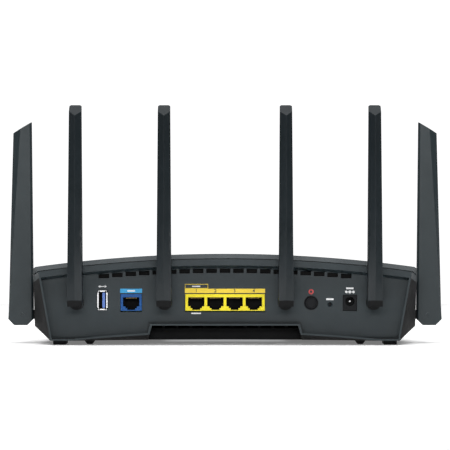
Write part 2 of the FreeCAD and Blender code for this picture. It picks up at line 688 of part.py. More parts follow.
def make_feet():
    """Rubber pads under the corners and two round feet under the rear edge."""
    for place_name in ("rear", "front"):
        pads = []
        for side in (-1, 1):
            x = around(f"{side} * {place_name}_pad_x", "pad_wide")
            y = around(f"{place_name}_pad_y", "pad_long")
            pads.append(block(f"{place_name.title()}Pad{side + 1}", x, y, ("0", "sole_height")))
        node(group(f"Feet{place_name.title()}", pads), f"feet_{place_name}")
    nubs = []
    for side in (-1, 1):
        x = f"{side} * nub_x"
        nubs.append(rod(f"Nub{side + 1}", "nub_tip", x, "nub_y", "0", "sole_height", tip="nub_root"))
    node(group("FeetRound", nubs), "feet_round")


def make_trim():
    """Case screws, the blank plate under the router and the light window."""
    screws = []
    for index, (x, y) in enumerate(screw_places("post")):
        head = rod(f"CaseHead{index}", "head_radius", x, y, "sole_height - 0.2", "head_tall")
        socket = rod(f"CaseSocket{index}", "drive_radius", x, y, "sole_height - 0.4", "head_tall - 0.4")
        shank = rod(f"CaseShank{index}", "screw_radius - 0.03", x, y, "sole_height + 1", "12")
        screws.append(cut(f"CaseScrew{index}", join(f"CaseSolid{index}", head, shank), socket))
    node(group("CaseScrews", screws), "case_screws")
    plate = new_body("LabelPlate")
    extrude(plate, "Pad", "LabelPad", "XY_Plane", "sole_height - plate_thick", "sole_height",
            rectangle(around("0", "plate_wide"), around("plate_y", "plate_long")))
    node(plate, "label_plate")
    window = block("WindowBar", around("0", "window_wide - 2 * window_gap"),
                   around("window_y", "window_deep - 2 * window_gap"), ("led_z", "blank_top"))
    strip = overlap("WindowStrip", window, roof("WindowRoof", "window_gap"))
    node(cut("StatusWindow", strip, roof("WindowUnder", "skin + 0.6")), "status_window")


def make_boards():
    """Main board and light board with their screws and lights."""
    board = block("BoardBlank", ("-board_half", "board_half"), ("board_front", "board_rear"),
                  ("board_top - board_thick", "board_top"))
    holes = []
    screws = []
    for index, (x, y) in enumerate(screw_places("boss")):
        holes.append(rod(f"BoardHole{index}", "drive_radius + 0.3", x, y, "board_top - 3", "5"))
        head = rod(f"BoardHead{index}", "head_radius - 0.1", x, y, "board_top", "head_tall + 0.1")
        shank = rod(f"BoardShank{index}", "drive_radius", x, y, "board_top - 7", "7.5")
        screws.append(join(f"BoardScrew{index}", head, shank))
    node(cut("MainBoard", board, group("BoardHoles", holes)), "main_board")
    node(group("BoardScrews", screws), "board_screws")
    node(block("LedBoard", around("0", "led_wide"), around("window_y", "led_deep"),
               ("led_z", "led_z + board_thick")), "led_board")
    lamps = []
    for count in range(-3, 4):
        x = around(f"{count} * lamp_pitch", "lamp_size")
        height = ("led_z + board_thick", "led_z + board_thick + 1")
        lamps.append(block(f"Lamp{count + 3}", x, around("window_y", "2"), height))
    node(group("StatusLeds", lamps), "status_leds")


def make_components():
    """What is soldered to the main board, and the heatsink on its processor."""
    chips = []
    for index, (x, y, size) in enumerate(CHIPS):
        height = ("board_top", "board_top + chip_tall")
        chips.append(block(f"Chip{index}", around(x, size), around(y, size), height))
    node(group("Chips", chips), "chips")
    cans = []
    for side in (-1, 1):
        x = f"{side} * can_x"
        shell = block(f"Can{side + 1}", around(x, "can_wide"), around("can_y", "can_long"),
                      ("board_top", "board_top + can_tall"))
        room = block(f"CanRoom{side + 1}", around(x, "can_wide - 2 * can_skin"),
                     around("can_y", "can_long - 2 * can_skin"),
                     ("board_top - 1", "board_top + can_tall - can_skin"))
        cans.append(cut(f"Shield{side + 1}", shell, room))
    node(group("RfShields", cans), "rf_shields")
    coils = []
    for index in range(5):
        x = f"({index} - 1.5) * jack_pitch" if index < 4 else "wan_x"
        coils.append(block(f"Coil{index}", around(x, "coil_wide"), around("coil_y", "coil_long"),
                           ("board_top", "board_top + coil_tall")))
    node(group("LineTransformers", coils), "line_transformers")
    drums = []
    for index, (x, y) in enumerate(CAPACITORS):
        drums.append(rod(f"Drum{index}", "drum_radius", x, y, "board_top", "drum_tall"))
    node(group("Capacitors", drums), "capacitors")
    foot = "board_top + chip_tall"
    sink_y = around("sink_y", "sink_long")
    base = block("SinkBase", around("0", "sink_wide"), sink_y, (foot, f"{foot} + sink_base"))
    fins = []
    for count in range(-5, 6):
        x = around(f"{count} * fin_pitch", "fin_thick")
        fins.append(block(f"Fin{count + 5}", x, sink_y, (f"{foot} + sink_base / 2", "board_top + fin_top")))
    node(join("Heatsink", base, *fins), "heatsink")


# ---------------------------------------------------------------- sockets and buttons

def port_tools(name, x):
    """Plug opening of a network socket: main mouth and two steps for the latch."""
    depth = (f"{JACK_FRONT} - port_deep", f"{JACK_FRONT} + 1")
    floor = "board_top + port_floor"
    mouth = block(name + "Mouth", around(x, "port_wide"), depth, (floor, f"{floor} + port_tall"))
    step = block(name + "Step", around(x, "latch_wide + 2 * latch_step"), depth,
                 (f"{floor} - latch_step", f"{floor} + 1"))
    latch = block(name + "Latch", around(x, "latch_wide"), depth,
                  (f"{floor} - 2 * latch_step", f"{floor} + 1"))
    return [mouth, step, latch]


def port_contacts(name, x):
    """Eight spring wires under the roof of a plug opening."""
    ceiling = "board_top + port_floor + port_tall"
    depth = (f"{JACK_FRONT} - port_deep", f"{JACK_FRONT} - 4")
    wires = []
    for index in range(8):
        across = around(f"{x} + ({index} - 3.5) * wire_pitch", "wire_thick")
        wires.append(block(f"{name}Wire{index}", across, depth, (f"{ceiling} - 1", ceiling)))
    return wires


def make_network_sockets():
    """Ganged block of four sockets and the single socket beside it."""
    depth = (f"{JACK_FRONT} - jack_deep", JACK_FRONT)
    height = ("board_top", "board_top + jack_tall")
    shell = block("LanShell", around("0", "3 * jack_pitch + jack_wide + 0.6"), depth, height)
    tools = []
    wires = []
    for index in range(4):
        x = f"({index} - 1.5) * jack_pitch"
        tools += port_tools(f"Lan{index}", x)
        wires += port_contacts(f"Lan{index}", x)
    node(cut("LanBlock", shell, join("LanPorts", *tools)), "lan_block")
    node(group("LanContacts", wires), "lan_contacts")
    single = block("WanShell", around("wan_x", "jack_wide"), depth, height)
    node(cut("WanJack", single, join("WanPort", *port_tools("Wan", "wan_x"))), "wan_jack")
    node(group("WanContacts", port_contacts("Wan", "wan_x")), "wan_contacts")


def make_usb():
    """Upright socket: pressed metal shell with four spring tabs, and its tongue."""
    front = "(panel_y + usb_proud)"
    inside_wide = around("usb_x", "usb_wide - 2 * usb_skin")
    inside_tall = around("usb_z", "usb_tall - 2 * usb_skin")
    tube = block("UsbTube", around("usb_x", "usb_wide"), (f"{front} - usb_deep", front),
                 around("usb_z", "usb_tall"))
    room = block("UsbRoom", inside_wide, (f"{front} - usb_deep - 1", f"{front} + 1"), inside_tall)
    rim = (f"{front} - 0.5", front)
    tabs = []
    for side in (-1, 1):
        beside = around(f"usb_x + {side} * (usb_wide / 2 - usb_skin + usb_tab_thick / 2)", "usb_tab_thick")
        above = around(f"usb_z + {side} * (usb_tall / 2 - usb_tab_thick / 2)", "usb_tab_thick")
        tabs.append(block(f"UsbSideTab{side + 1}", beside, rim, around("usb_z", "usb_tab_long")))
        tabs.append(block(f"UsbEndTab{side + 1}", around("usb_x", "usb_tab_short"), rim, above))
    node(join("UsbShell", cut("UsbSleeve", tube, room), *tabs), "usb_shell")
    plug = block("UsbPlug", inside_wide, (f"{front} - usb_deep", f"{front} - usb_deep + 2.4"), inside_tall)
    blade = block("UsbBlade", around("usb_x - usb_blade_off", "usb_blade_thick"),
                  (f"{front} - usb_deep + 2", f"{front} - 1.2"), around("usb_z", "usb_blade_tall"))
    node(join("UsbTongue", plug, blade), "usb_tongue")


def make_power_inlet():
    """Barrel inlet with its centre pin."""
    front = "(panel_y + inlet_proud)"
    case = block("InletCase", around("power_x", "power_wide"), (f"{front} - inlet_deep", front),
                 around("power_z", "power_tall"))
    floor = f"{front} - bore_deep"
    bore = rod("InletBore", "inlet_radius", "power_x", floor, "inlet_z", "bore_deep + 1", "y")
    node(cut("PowerInlet", case, bore), "power_inlet")
    shank = rod("PinShank", "inlet_pin", "power_x", floor, "inlet_z", "bore_deep - 2.4", "y")
    point = rod("PinPoint", "inlet_pin", "power_x", f"{front} - 2.4", "inlet_z", "0.7", "y",
                tip="inlet_pin / 2")
    node(join("InletPin", shank, point), "inlet_pin")


def make_power_button():
    """Push button in its ring, with the switch that it presses."""
    outer = "button_radius + ring_gap + ring_wide"
    length = f"panel_y + ring_proud - {PANEL_BACK}"
    ring = rod("RingSolid", outer, "button_x", PANEL_BACK, "button_z", length, "y")
    hole = rod("RingHole", "button_radius + ring_gap", "button_x", f"{PANEL_BACK} - 1", "button_z", "8", "y")
    node(cut("ButtonRing", ring, hole), "button_ring")
    button = new_body("PowerButton")
    front = "panel_y + button_proud"
    stages = (
        ("Pad", "Cap", f"{PANEL_BACK} - 2", front, "button_radius"),
        ("Pad", "Flange", f"{PANEL_BACK} - 2.2", f"{PANEL_BACK} - 0.4", "button_radius + 1.2"),
        ("Pad", "Stem", f"{PANEL_BACK} - button_stem", f"{PANEL_BACK} - 2", "1.8"),
        ("Pocket", "Dish", f"{front} - 0.4", front, "button_radius - 1"),
    )
    for kind, name, low, high, radius in stages:
        extrude(button, kind, "Button" + name, "XZ_Plane", low, high, ("button_x", "button_z", radius))
    node(button, "power_button")
    reach = f"{PANEL_BACK} - button_stem - button_travel - 0.3"
    node(block("PowerSwitch", around("button_x", "8"), (f"{reach} - 9", reach),
               ("board_top", "board_top + 9")), "power_switch")


def make_reset_button():
    """Reset plunger behind its small hole, with the switch that it presses."""
    plunger = new_body("ResetButton")
    extrude(plunger, "Pad", "ResetPin", "XZ_Plane", f"{PANEL_BACK} - button_stem", "panel_y - 1.2",
            ("reset_x", "reset_z", "reset_radius"))
    extrude(plunger, "Pad", "ResetFlange", "XZ_Plane", f"{PANEL_BACK} - 2", f"{PANEL_BACK} - 0.4",
            ("reset_x", "reset_z", "reset_radius + 1.2"))
    node(plunger, "reset_button")
    reach = f"{PANEL_BACK} - button_stem - reset_travel - 0.2"
    node(block("ResetSwitch", around("reset_x", "6"), (f"{reach} - 4", reach),
               ("board_top", "board_top + 6")), "reset_switch")


# ---------------------------------------------------------------- antennas

def make_blade(name, length, pin_depth, pin_rise):
    """Tapered blade: flat at the foot, twisting into two bevels and a slanted tip."""
    body = new_body("Blade_" + name)
    lift = "blade_tip_deep * tan(blade_slant)"
    outlines = []
    tip = ("blade_tip_wide / 2", "blade_lean", "blade_tip_deep + blade_lean", "blade_bevel")
    for half, inner, outer, bevel in (("blade_wide / 2", "0", "blade_deep", "0.02"), tip):
        outlines.append([
            (f"-{half} + blade_edge", inner),
            (f"{half} - blade_edge", inner),
            (half, f"{inner} + blade_edge"),
            (half, f"{outer} - {bevel}"),
            ("0", outer),
            (f"-{half}", f"{outer} - {bevel}"),
            (f"-{half}", f"{inner} + blade_edge"),
        ])
    foot = new_sketch(body, "Foot_" + name, "XY_Plane", "0", [outlines[0]])
    head = new_sketch(body, "Head_" + name, "XY_Plane", length, [outlines[1]])
    loft = body.newObject("PartDesign::AdditiveLoft", "BladeLoft_" + name)
    loft.Profile = foot
    loft.Sections = [head]
    loft.Ruled = True
    high = f"{length} + 6"
    near = "blade_lean - 2"
    far = "blade_deep + 5"
    rim = f"{length} + 2 * tan(blade_slant)"
    fall = f"({far} - ({near})) * tan(blade_slant)"
    tip_cut = [(near, rim), (far, f"{rim} - {fall}"), (far, high), (near, high)]
    inner_cut = [("-1", "-1"), ("blade_chamfer + 1", "-1"), ("-1", "blade_chamfer + 1")]
    outer_cut = [("blade_deep + 1", "-1"), ("blade_deep + 1", "blade_chamfer + 1"),
                 ("blade_deep - blade_chamfer - 1", "-1")]
    extrude(body, "Pocket", "Trim_" + name, "YZ_Plane", "-10", "10", tip_cut, inner_cut, outer_cut)
    reach = f"{pin_depth} + tongue_radius + knuckle_gap"
    rise = f"{pin_rise} + tongue_radius + knuckle_gap"
    slot = rectangle(("-2", reach), ("-2", rise))
    extrude(body, "Pocket", "Fork_" + name, "YZ_Plane", "-fork_gap / 2", "fork_gap / 2", slot)
    extrude(body, "Pocket", "PinHole_" + name, "YZ_Plane", "-10", "10", (pin_depth, pin_rise, "pin_radius"))
    bore = rectangle(("-1.6", "1.6"), ("blade_lean + 2", "blade_lean + 9"))
    extrude(body, "Pocket", "Bore_" + name, "XY_Plane", f"{rise} - 0.5", f"{length} - {lift} - 12", bore)
    return body


def make_stub(name, pin_depth, pin_rise, wall_gap, axis_rise, plate):
    """Swivel stub: split shaft through the wall, collar, neck and rounded tongue."""
    stub = new_body("Stub_" + name)
    wall_face = f"-({wall_gap})"
    inside = f"{wall_face} - {plate}"
    discs = (
        ("Collar_", f"{wall_face} + 0.05", f"{wall_face} + collar_thick", "collar_radius"),
        ("Neck_", f"{wall_face} + 0.5", "-neck_gap", "neck_radius"),
        ("Shaft_", f"{inside} - 4", f"{wall_face} + 0.5", "shaft_radius"),
        ("Barb_", f"{inside} - 3.4", f"{inside} - 2", "shaft_radius + 0.9"),
    )
    for kind, low, high, radius in discs:
        extrude(stub, "Pad", kind + name, "XZ_Plane", low, high, ("0", axis_rise, radius))
    tongue = rectangle(("-neck_gap - 0.5", pin_depth), around(pin_rise, "2 * tongue_radius"))
    extrude(stub, "Pad", "Tongue_" + name, "YZ_Plane", "-tongue / 2", "tongue / 2", tongue)
    extrude(stub, "Pad", "TongueEnd_" + name, "YZ_Plane", "-tongue / 2", "tongue / 2",
            (pin_depth, pin_rise, "tongue_radius"))
    split = rectangle(("-0.6", "0.6"), (f"{axis_rise} - 5", f"{axis_rise} + 5"))
    extrude(stub, "Pocket", "Split_" + name, "XZ_Plane", f"{inside} - 5", f"{inside} + 0.5", split)
    extrude(stub, "Pocket", "Eye_" + name, "YZ_Plane", "-tongue", "tongue",
            (pin_depth, pin_rise, "pin_radius + swivel_gap"))
    return stub


def make_antenna(name, spot, turn, length, pin_depth, pin_rise, wall_gap, axis_rise, plate):
    """One antenna in its own frame: blade, radiator strip, fold pin and swivel stub."""
    lift = "blade_tip_deep * tan(blade_slant)"
    radiator = new_body("Radiator_" + name)
    strip = rectangle(("-0.5", "0.5"), ("blade_lean + 2", "blade_lean + 9"))
    bottom = f"{pin_rise} + tongue_radius + knuckle_gap + 2"
    extrude(radiator, "Pad", "Strip_" + name, "XY_Plane", bottom, f"{length} - {lift} - 12", strip)
    pin = new_body("Pin_" + name)
    extrude(pin, "Pad", "Shank_" + name, "YZ_Plane", "-blade_wide / 2 + 0.4", "blade_wide / 2 - 0.4",
            (pin_depth, pin_rise, "pin_radius - 0.01"))
    pieces = {
        "blade": make_blade(name, length, pin_depth, pin_rise),
        "radiator": radiator,
        "pin": pin,
        "stub": make_stub(name, pin_depth, pin_rise, wall_gap, axis_rise, plate),
    }
    for kind, item in pieces.items():
        place(item, *spot, turn)
        node(item, f"{kind}_{name}")


def make_antennas():
    """Four antennas behind the panel and one on each side."""
    for name, x in REAR_PLACES.items():
        make_antenna(name, (x, "rear_face", "rear_foot"), 0, "rear_length", "rear_pin_depth", "rear_pin_rise",
                     "rear_face - panel_y", "rear_axis - rear_foot", "(panel_step + panel_flange)")
    for name, side in SIDE_PLACES.items():
        make_antenna(name, (f"{side} * side_face", "side_y", "side_foot"), -90 * side, "side_length",
                     "side_pin_depth", "side_pin_rise", "side_face - body_half", "side_axis - side_foot",
                     "wall")


def make_washers():
    """Washers that the barbs of the swivel stubs bear on, inside the walls."""
    washers = []
    hole_radius = "shaft_radius + swivel_gap"
    for name, x in REAR_PLACES.items():
        start = f"{PANEL_BACK} - washer_thick"
        disc = rod(f"Washer_{name}", "washer_radius", x, start, "rear_axis", "washer_thick", "y")
        hole = rod(f"WasherHole_{name}", hole_radius, x, f"{start} - 1", "rear_axis", "washer_thick + 2", "y")
        washers.append(cut(f"WasherRing_{name}", disc, hole))
    for name, side in SIDE_PLACES.items():
        start = f"{side} * (body_half - wall - washer_thick / 2) - washer_thick / 2"
        disc = rod(f"Washer_{name}", "washer_radius", start, "side_y", "side_axis", "washer_thick", "x")
        hole = rod(f"WasherHole_{name}", hole_radius, f"{start} - 1", "side_y", "side_axis",
                   "washer_thick + 2", "x")
        washers.append(cut(f"WasherRing_{name}", disc, hole))
    node(group("HingeWashers", washers), "hinge_washers")


def check_document():
    """Stop on any failed feature, empty or invalid shape, or pocket that removed nothing."""
    for item in DOC.Objects:
        if set(item.State) & {"Invalid", "Error"}:
            raise RuntimeError(f"{item.Name} failed: {item.State} {item.getStatusString()}")
        if item.TypeId == "PartDesign::Pocket" and item.Shape.Volume >= item.BaseFeature.Shape.Volume - 0.001:
            raise RuntimeError(f"{item.Name} removed nothing")
    for item in NODES:
        if item.Shape.isNull() or not item.Shape.isValid() or not item.Shape.Solids:
            raise RuntimeError(f"{item.Label} has no valid solid")


def main():
    """Build the router, check it and write one file per sub-part."""
    fill_sheet()
    outer = housing_space("Outer", "0")
    lip_space = housing_space("LipSpace", "lip")
    inner = housing_space("Inner", "wall")
    walls = overlap("TrayWalls", outer, roof("TrayTop", "bevel_drop"))
    groove = seam_groove(walls, lip_space)
    make_top_cover(outer, inner)
    make_rear_hood(walls, groove)
    make_bottom_shell(walls, lip_space, inner, groove)
    make_rear_panel(lip_space, inner)
    make_feet()
    make_trim()
    make_boards()
    make_components()
    make_network_sockets()
    make_usb()
    make_power_inlet()
    make_power_button()
    make_reset_button()
    make_antennas()
    make_washers()
    DOC.recompute()
    check_document()
    os.makedirs("parts", exist_ok=True)
    for item in NODES:
        item.Shape.exportStep(f"parts/{item.Label}.step")
        print(item.Label, len(item.Shape.Solids), round(item.Shape.Volume))


main()
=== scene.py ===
# %% [markdown]
# # A wireless router with six folding antennas
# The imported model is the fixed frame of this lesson: it gives every part its size and its
# place, in metres, with +Z up and the socket panel facing +Y. Everything below dresses that
# frame: a camera and a small studio first, then the finishes, then rounded copies of the
# moulded parts, and last the small pieces and printed marks around the sockets.

# %% Load the frame
import json
import math

import bpy
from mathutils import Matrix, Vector


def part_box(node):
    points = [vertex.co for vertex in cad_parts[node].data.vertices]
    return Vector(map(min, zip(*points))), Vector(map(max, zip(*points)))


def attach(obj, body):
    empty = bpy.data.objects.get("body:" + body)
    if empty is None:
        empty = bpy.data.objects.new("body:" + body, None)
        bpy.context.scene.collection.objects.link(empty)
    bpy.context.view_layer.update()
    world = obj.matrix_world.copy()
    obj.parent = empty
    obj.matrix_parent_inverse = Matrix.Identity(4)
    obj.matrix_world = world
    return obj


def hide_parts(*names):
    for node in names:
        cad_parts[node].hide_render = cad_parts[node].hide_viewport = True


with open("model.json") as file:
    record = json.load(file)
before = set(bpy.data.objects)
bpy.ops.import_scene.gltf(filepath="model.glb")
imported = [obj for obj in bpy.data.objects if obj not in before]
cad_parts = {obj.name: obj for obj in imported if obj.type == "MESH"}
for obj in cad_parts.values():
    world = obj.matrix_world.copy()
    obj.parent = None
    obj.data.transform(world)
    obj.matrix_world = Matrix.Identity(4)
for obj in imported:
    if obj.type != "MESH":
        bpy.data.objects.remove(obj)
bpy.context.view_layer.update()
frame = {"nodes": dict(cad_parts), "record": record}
record = frame["record"]
BODY_OF = {node: body for body, nodes in record["behaviour"]["bodies"].items() for node in nodes}
SLOT_OF = {part["node"]: part["material_slot"] for part in record["subparts"]}
SLOT_OF["button_ring"] = "black_plastic"  # moulded in black, like the button inside it
MM = 0.001

# %% [markdown]
# ## Camera
# The router is looked at from behind, level with the lower half of its antennas, and from
# far away, so that the upright antennas stay upright. A short lens close by would splay
# them outwards, so a long lens two metres away is used.

# %% Camera behind the router
DISTANCE = 2.0
EYE_HEIGHT = 0.0872
LENS = 219.8
FAR_LIMIT = 60
panel_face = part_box("rear_panel")[1][1]
bpy.ops.object.camera_add(location=(0, panel_face + DISTANCE, EYE_HEIGHT),
                          rotation=(math.radians(90), 0, math.radians(180)))
camera = bpy.context.object
camera.name = "Camera"
camera.data.lens = LENS
camera.data.clip_end = FAR_LIMIT
bpy.context.scene.camera = camera
print("camera at", [round(part, 3) for part in camera.location], "lens", camera.data.lens)

# %% [markdown]
# ## Studio
# Dark satin plastic shows its shape by what it mirrors. A wide soft box overhead lights the
# slanted roof edge and leaves the soft shadow under it. A smaller one in front of the panel
# gives its middle a glow that fades to the sides. The floor is a disc inside a white drum, so
# that it has no horizon. The drum is seen but lights nothing, or dark faces would wash out.

# %% Floor, backdrop, world and soft boxes
FLOOR_RADIUS = 1.0
DRUM_RADIUS = 9
DRUM_TALL = 30
ROUND_SIDES = 96
WORLD_TINT = (0.97, 0.98, 1.0, 1)
WORLD_LEVEL = 0.12
bpy.ops.mesh.primitive_circle_add(vertices=ROUND_SIDES, radius=FLOOR_RADIUS, fill_type="NGON",
                                  location=(0, 0, 0))
floor = bpy.context.object
floor.name = "Floor"
bpy.ops.mesh.primitive_cylinder_add(vertices=ROUND_SIDES, radius=DRUM_RADIUS, depth=DRUM_TALL,
                                    location=(0, 0, 0))
backdrop = bpy.context.object
backdrop.name = "Backdrop"
backdrop.visible_diffuse = False
backdrop.visible_glossy = False
backdrop.visible_transmission = False
backdrop.visible_shadow = False


def soft_box(name, place, aim, size, power):
    """Rectangular soft light at a place, turned towards a point."""
    bpy.ops.object.light_add(type="AREA", location=place)
    lamp = bpy.context.object
    lamp.name = name
    lamp.data.shape = "RECTANGLE"
    lamp.data.size, lamp.data.size_y = size
    lamp.data.energy = power
    lamp.rotation_euler = (Vector(aim) - Vector(place)).to_track_quat("-Z", "Y").to_euler()
    return lamp


soft_box("OverheadBox", (0, 0.25, 1.5), (0, 0.05, 0.05), (2.4, 1.6), 50)
soft_box("PanelBox", (0, 1.2, 0.34), (0, 0.07, 0.05), (0.5, 0.16), 5.0)
world = bpy.data.worlds.new("Studio")
world.use_nodes = True
bpy.context.scene.world = world
world.node_tree.nodes["Background"].inputs["Color"].default_value = WORLD_TINT
world.node_tree.nodes["Background"].inputs["Strength"].default_value = WORLD_LEVEL
bpy.context.scene.view_settings.view_transform = "Standard"

# %% [markdown]
# ## How a finish is built
# Moulded plastic is never one even colour. The mould leaves a fine grain, handling polishes it
# unevenly and edges rub lighter; that lighter edge colour is also a painted sheen, the light a
# rounded edge catches. Noise on Object coordinates gives all three at their real size on every
# part. An image texture could do it too, but noise needs no file and never repeats. A value
# that is the same all over goes straight onto the shader.

# %% Helpers that add one texture, ramp or bump at a time
def new_material(name):
    """Material with a Principled shader, its tree and the shader."""
    material = bpy.data.materials.new(name)
    material.use_nodes = True
    return material, material.node_tree, material.node_tree.nodes["Principled BSDF"]


def add_noise(tree, scale, detail, stretch=(1, 1, 1)):
    """Noise on Object coordinates, stretched where the finish has a direction."""
    place = tree.nodes.new("ShaderNodeTexCoord")
    mapping = tree.nodes.new("ShaderNodeMapping")
    noise = tree.nodes.new("ShaderNodeTexNoise")
    mapping.inputs["Scale"].default_value = stretch
    noise.inputs["Scale"].default_value = scale
    noise.inputs["Detail"].default_value = detail
    tree.links.new(place.outputs["Object"], mapping.inputs["Vector"])
    tree.links.new(mapping.outputs["Vector"], noise.inputs["Vector"])
    return noise.outputs["Fac"]


def add_ramp(tree, source, low, high, span=(0.3, 0.7)):
    """Blend from one colour to another over a span of the source."""
    ramp = tree.nodes.new("ShaderNodeValToRGB")
    for element, position, colour in zip(ramp.color_ramp.elements, span, (low, high)):
        element.position = position
        element.color = (*colour, 1)
    tree.links.new(source, ramp.inputs["Fac"])
    return ramp.outputs["Color"]


def grey(level):
    """A level as a colour."""
    return (level, level, level)


def add_bump(tree, shader, source, strength, height):
    """Bump of a real height on top of what the shader already has."""
    bump = tree.nodes.new("ShaderNodeBump")
    bump.inputs["Strength"].default_value = strength
    bump.inputs["Distance"].default_value = height
    tree.links.new(source, bump.inputs["Height"])
    if shader.inputs["Normal"].is_linked:
        tree.links.new(shader.inputs["Normal"].links[0].from_socket, bump.inputs["Normal"])
    tree.links.new(bump.outputs["Normal"], shader.inputs["Normal"])


def add_edge_wear_and_sheen(tree, colour, wear_and_sheen, amount, radius):
    """Lighter colour along edges, for wear and a painted sheen, found where a rounded normal leaves the
    true one.
    """
    bevel = tree.nodes.new("ShaderNodeBevel")
    geometry = tree.nodes.new("ShaderNodeNewGeometry")
    compare = tree.nodes.new("ShaderNodeVectorMath")
    blend = tree.nodes.new("ShaderNodeMix")
    bevel.samples = 4
    bevel.inputs["Radius"].default_value = radius
    compare.operation = "DOT_PRODUCT"
    blend.data_type = "RGBA"
    tree.links.new(bevel.outputs["Normal"], compare.inputs[0])
    tree.links.new(geometry.outputs["Normal"], compare.inputs[1])
    mask = add_ramp(tree, compare.outputs["Value"], grey(amount), grey(0), (0.80, 0.995))
    tree.links.new(mask, blend.inputs["Factor"])
    tree.links.new(colour, blend.inputs["A"])
    blend.inputs["B"].default_value = (*wear_and_sheen, 1)
    return blend.outputs["Result"]


# %% [markdown]
# ## Two families of finish
# The shells, antennas, sockets and feet are moulded, and the screws, washers and socket shell
# are metal. One function makes each family, so that every finish differs only in its colour,
# polish and grain. A shared material with many switches would be harder to follow.

# %% Moulded plastic
CLOUDS_PER_METRE = 42
POLISH_PER_METRE = 95
WAVES_PER_METRE = 120
WAVE_HEIGHT = 0.05 * MM
# Width and share of the lighter edges: wear and a painted sheen
WEAR_AND_SHEEN_EDGE = 0.5 * MM
WEAR_AND_SHEEN_SHARE = 0.5


def moulded(name, dark, light, rough, grain=2400, grain_height=0.03 * MM, wear_and_sheen=None, gloss=0.5):
    """Clouded colour, uneven polish, fine grain and, if an edge colour is given, edges lighter by wear
    and by a painted sheen.
    """
    material, tree, shader = new_material(name)
    shader.inputs["Specular IOR Level"].default_value = gloss
    colour = add_ramp(tree, add_noise(tree, CLOUDS_PER_METRE, 4), dark, light)
    if wear_and_sheen:
        # Lighter edges: wear, and a painted sheen where a rounded edge catches light
        colour = add_edge_wear_and_sheen(tree, colour, wear_and_sheen, WEAR_AND_SHEEN_SHARE, WEAR_AND_SHEEN_EDGE)
    patches = add_noise(tree, POLISH_PER_METRE, 5)
    polish = add_ramp(tree, patches, grey(rough - 0.04), grey(rough + 0.05))
    tree.links.new(colour, shader.inputs["Base Color"])
    tree.links.new(polish, shader.inputs["Roughness"])
    add_bump(tree, shader, add_noise(tree, grain, 2), 0.55, grain_height)
    add_bump(tree, shader, add_noise(tree, WAVES_PER_METRE, 2), 0.12, WAVE_HEIGHT)
    print(name, "is moulded, roughness about", rough)
    return material


# %% Bare metal
def plated(name, colour, rough, stretch=(1, 1, 1)):
    """Metal with fine drawing lines along one direction and small changes of polish."""
    material, tree, shader = new_material(name)
    shader.inputs["Metallic"].default_value = 1.0
    lines = add_noise(tree, 1400, 2, stretch)
    dull = tuple(0.8 * channel for channel in colour)
    tree.links.new(add_ramp(tree, lines, dull, colour), shader.inputs["Base Color"])
    polish = add_ramp(tree, add_noise(tree, 160, 4), grey(rough - 0.06), grey(rough + 0.08))
    tree.links.new(polish, shader.inputs["Roughness"])
    add_bump(tree, shader, lines, 0.4, 0.02 * MM)
    print(name, "is metal, roughness about", rough)
    return material


# %% [markdown]
# ## The router's own finishes
# The housing and the side antennas are the same slate plastic. The rear antennas are that slate
# too, but get a darker copy of it as painted shade, for how the light falls on their slanted faces.
# The four ganged sockets are bright yellow and the single one blue, so that a user finds them by
# colour. The tongue of the upright socket is a paler blue.

# %% Finishes by material slot
# The edge colours of the moulded finishes are lighter, for wear and as a painted sheen
FINISHES = {
    "housing": moulded("slate_housing", (0.0115, 0.0190, 0.0225), (0.0155, 0.0240, 0.0285), 0.42,
                       wear_and_sheen=(0.044, 0.053, 0.059), gloss=0.28),
    "antenna": moulded("slate_antenna", (0.013, 0.0200, 0.0230), (0.017, 0.0250, 0.0285), 0.40,
                       wear_and_sheen=(0.036, 0.044, 0.049), gloss=0.30),
    "hinge": moulded("hinge_black", (0.003, 0.0035, 0.004), (0.005, 0.0055, 0.006), 0.45, gloss=0.15),
    "window": moulded("smoked_window", (0.008, 0.009, 0.010), (0.011, 0.012, 0.014), 0.15,
                      grain_height=0.004 * MM),
    "rubber": moulded("foot_rubber", (0.008, 0.008, 0.009), (0.012, 0.012, 0.013), 0.78, grain=1100,
                      gloss=0.3),
    "yellow_plastic": moulded("socket_yellow", (0.72, 0.60, 0.012), (0.80, 0.68, 0.020), 0.42,
                              grain_height=0.01 * MM, wear_and_sheen=(0.90, 0.80, 0.15), gloss=0.2),
    "blue_plastic": moulded("socket_blue", (0.004, 0.060, 0.22), (0.007, 0.075, 0.27), 0.40,
                            grain_height=0.01 * MM, wear_and_sheen=(0.03, 0.15, 0.42), gloss=0.2),
    "black_plastic": moulded("black_moulding", (0.0025, 0.003, 0.004), (0.004, 0.0045, 0.006), 0.42,
                             gloss=0.12),
    "board": moulded("solder_mask", (0.010, 0.075, 0.030), (0.016, 0.105, 0.045), 0.35, grain=900),
    "lamp": moulded("lamp_lens", (0.62, 0.68, 0.60), (0.72, 0.78, 0.70), 0.25,
                    grain_height=0.004 * MM),
    "label": moulded("blank_label", (0.58, 0.59, 0.60), (0.64, 0.65, 0.66), 0.45,
                     grain_height=0.006 * MM),
    "steel": plated("plated_steel", (0.74, 0.74, 0.75), 0.30, (1, 8, 1)),
    # Gold darkened as painted shade, for contacts deep in the sockets
    "contacts": plated("gilt_contacts_painted_shade", (0.36, 0.25, 0.09), 0.34),
    "aluminium": plated("drawn_aluminium", (0.66, 0.67, 0.68), 0.40, (1, 0.05, 1)),
}
